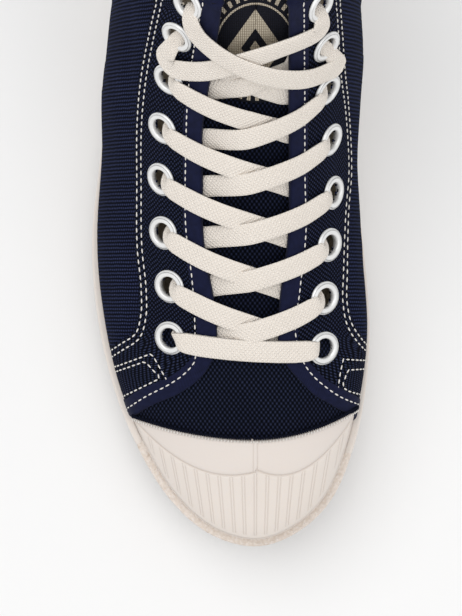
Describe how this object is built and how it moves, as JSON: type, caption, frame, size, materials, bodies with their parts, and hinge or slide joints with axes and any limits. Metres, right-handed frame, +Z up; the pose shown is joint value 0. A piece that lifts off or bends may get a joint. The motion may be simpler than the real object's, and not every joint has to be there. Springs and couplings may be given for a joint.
{
  "type": "canvas high-top sneaker",
  "caption": "Right shoe of a laced canvas high-top with a ribbed rubber toe, rubber foxing, metal eyelets and a flat cotton lace.",
  "frame": {"origin": "on the floor, under the middle of the shoe's bounding box", "axes": "+Z up, toe towards -Y, heel towards +Y, +X to the medial side of the right shoe"},
  "size_m": [0.098, 0.271, 0.1459],
  "materials": {
    "canvas": "matte navy cotton canvas",
    "rubber": "matte off-white vulcanised rubber",
    "cotton": "flat woven off-white cotton lace",
    "eyelet": "satin silver-white metal",
    "lining": "matte natural cotton"
  },
  "bodies": {
    "root": {"outsole": "rubber", "midsole": "rubber", "foxing": "rubber", "toe_guard": "rubber", "insole": "lining", "upper": "canvas", "toe_cap": "rubber", "tongue": "canvas", "eyelet_lateral_1": "eyelet", "eyelet_medial_1": "eyelet", "eyelet_lateral_2": "eyelet", "eyelet_medial_2": "eyelet", "eyelet_lateral_3": "eyelet", "eyelet_medial_3": "eyelet", "eyelet_lateral_4": "eyelet", "eyelet_medial_4": "eyelet", "eyelet_lateral_5": "eyelet", "eyelet_medial_5": "eyelet", "eyelet_lateral_6": "eyelet", "eyelet_medial_6": "eyelet", "eyelet_lateral_7": "eyelet", "eyelet_medial_7": "eyelet", "eyelet_lateral_8": "eyelet", "eyelet_medial_8": "eyelet", "lace_bar": "cotton", "lace_crossing_2": "cotton", "lace_crossing_3": "cotton", "lace_crossing_4": "cotton", "lace_crossing_5": "cotton", "lace_crossing_6": "cotton", "lace_crossing_7": "cotton", "lace_crossing_8": "cotton"}
  },
  "joints": []
}
